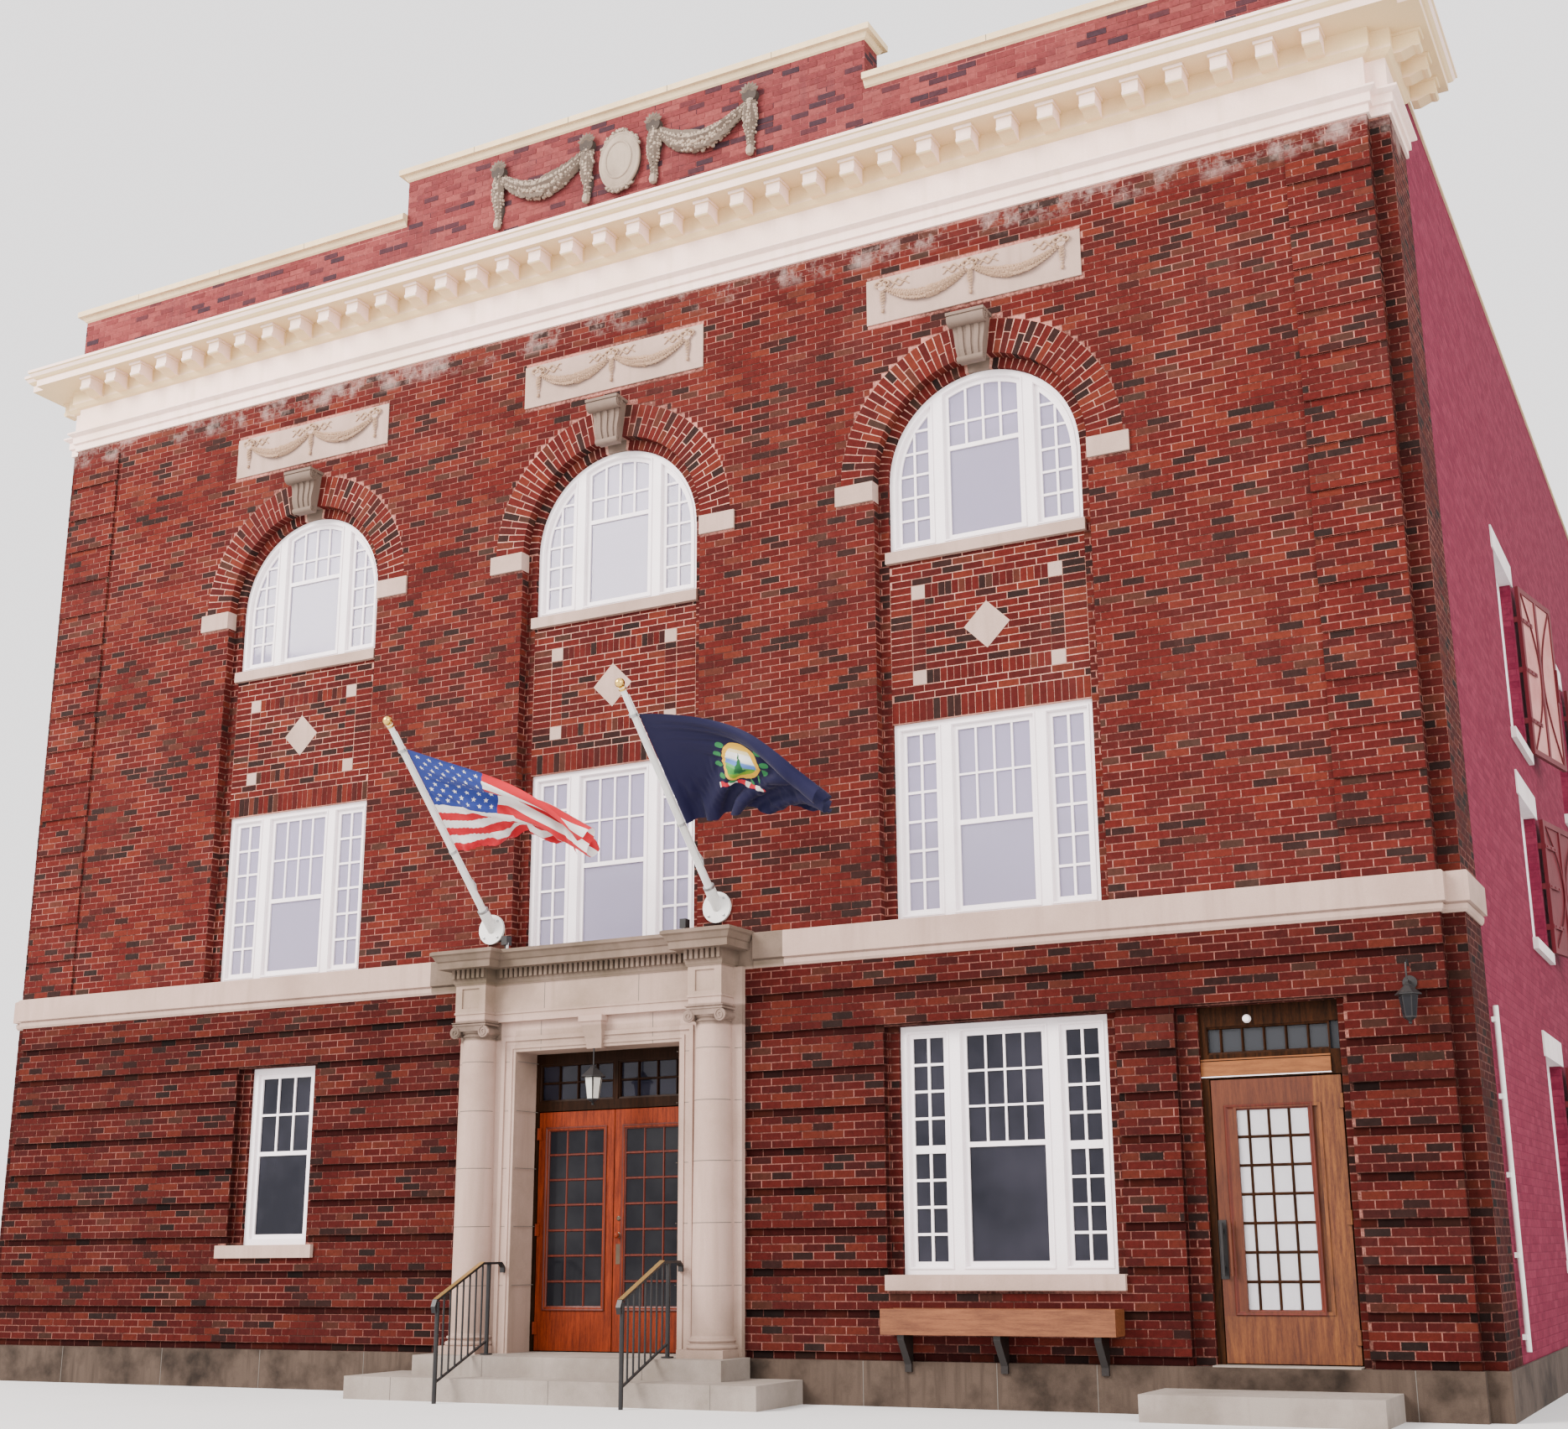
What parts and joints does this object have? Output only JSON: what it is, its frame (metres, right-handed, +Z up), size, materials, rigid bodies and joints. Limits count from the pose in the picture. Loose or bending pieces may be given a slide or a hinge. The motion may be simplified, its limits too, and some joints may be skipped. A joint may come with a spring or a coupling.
{
  "type": "brick town hall building",
  "caption": "Three-storey brick town hall with limestone trim, arched windows, a bracketed cornice, a parapet and a columned entrance.",
  "frame": {"origin": "on the ground under the middle of the front face", "axes": "+X to the right along the front, +Y into the building, +Z up"},
  "size_m": [16.6, 19.8048, 13.17],
  "materials": {
    "granite": "rough sawn stone",
    "floor_boards": "worn varnish",
    "roofing": "tarred felt with grit",
    "brick": "wire-cut face brick with buff mortar",
    "painted_brick": "painted common brick",
    "parapet_brick": "weathered face brick",
    "limestone": "rubbed limestone with soot",
    "white_stone": "painted stone",
    "cream_paint": "satin paint on sheet metal",
    "cast_stone": "weathered cast stone",
    "white_paint": "white gloss paint",
    "window_glass": "clear",
    "shutter_paint": "dark red paint",
    "dark_wood": "dark varnish",
    "door_wood": "orange-brown varnish",
    "black_iron": "black paint",
    "pole_paint": "white paint",
    "flag_cloth": "woven nylon",
    "box_wood": "varnished"
  },
  "bodies": {
    "building": {"foundation": "granite", "floors": "floor_boards", "roof": "roofing", "front_wall_left": "brick", "front_wall_right": "brick", "wall_over_doors": "brick", "front_piers": "brick", "front_wall_top": "brick", "spandrel_panels": "brick", "arch_rings": "brick", "corner_piers": "brick", "side_walls": "painted_brick", "back_wall": "painted_brick", "side_trim": "white_stone", "belt_course": "limestone", "quoins": "brick", "arch_stones": "limestone", "window_sills": "limestone", "spandrel_stones": "limestone", "plaques": "limestone", "cornice": "cream_paint", "modillions": "cream_paint", "parapet": "parapet_brick", "parapet_coping": "cast_stone", "parapet_garland": "cast_stone", "arched_windows": "white_paint", "upper_windows": "white_paint", "ground_windows": "white_paint", "side_windows": "white_paint", "window_glass": "window_glass", "shutters": "shutter_paint", "columns": "limestone", "door_surround": "limestone", "portico_top": "limestone", "entrance_steps": "granite", "door_frames": "dark_wood", "stair_rails": "black_iron", "lamps": "black_iron", "wall_conduit": "pole_paint", "flagpoles": "pole_paint", "flags": "flag_cloth", "window_box": "box_wood"},
    "left_leaf": {"main_door_left": "door_wood"},
    "right_leaf": {"main_door_right": "door_wood"},
    "side_leaf": {"side_door": "door_wood"}
  },
  "joints": [
    {"name": "left_leaf_hinge", "type": "hinge", "parent": "building", "child": "left_leaf", "pos_m": [-0.86, 0.275, 1.37], "axis": [0, 0, -1], "range_deg": [0, 90]},
    {"name": "right_leaf_hinge", "type": "hinge", "parent": "building", "child": "right_leaf", "pos_m": [0.86, 0.275, 1.37], "axis": [0, 0, 1], "range_deg": [0, 90]},
    {"name": "side_leaf_hinge", "type": "hinge", "parent": "building", "child": "side_leaf", "pos_m": [6.7925, 0.135, 1.37], "axis": [0, 0, 1], "range_deg": [0, 90]}
  ]
}
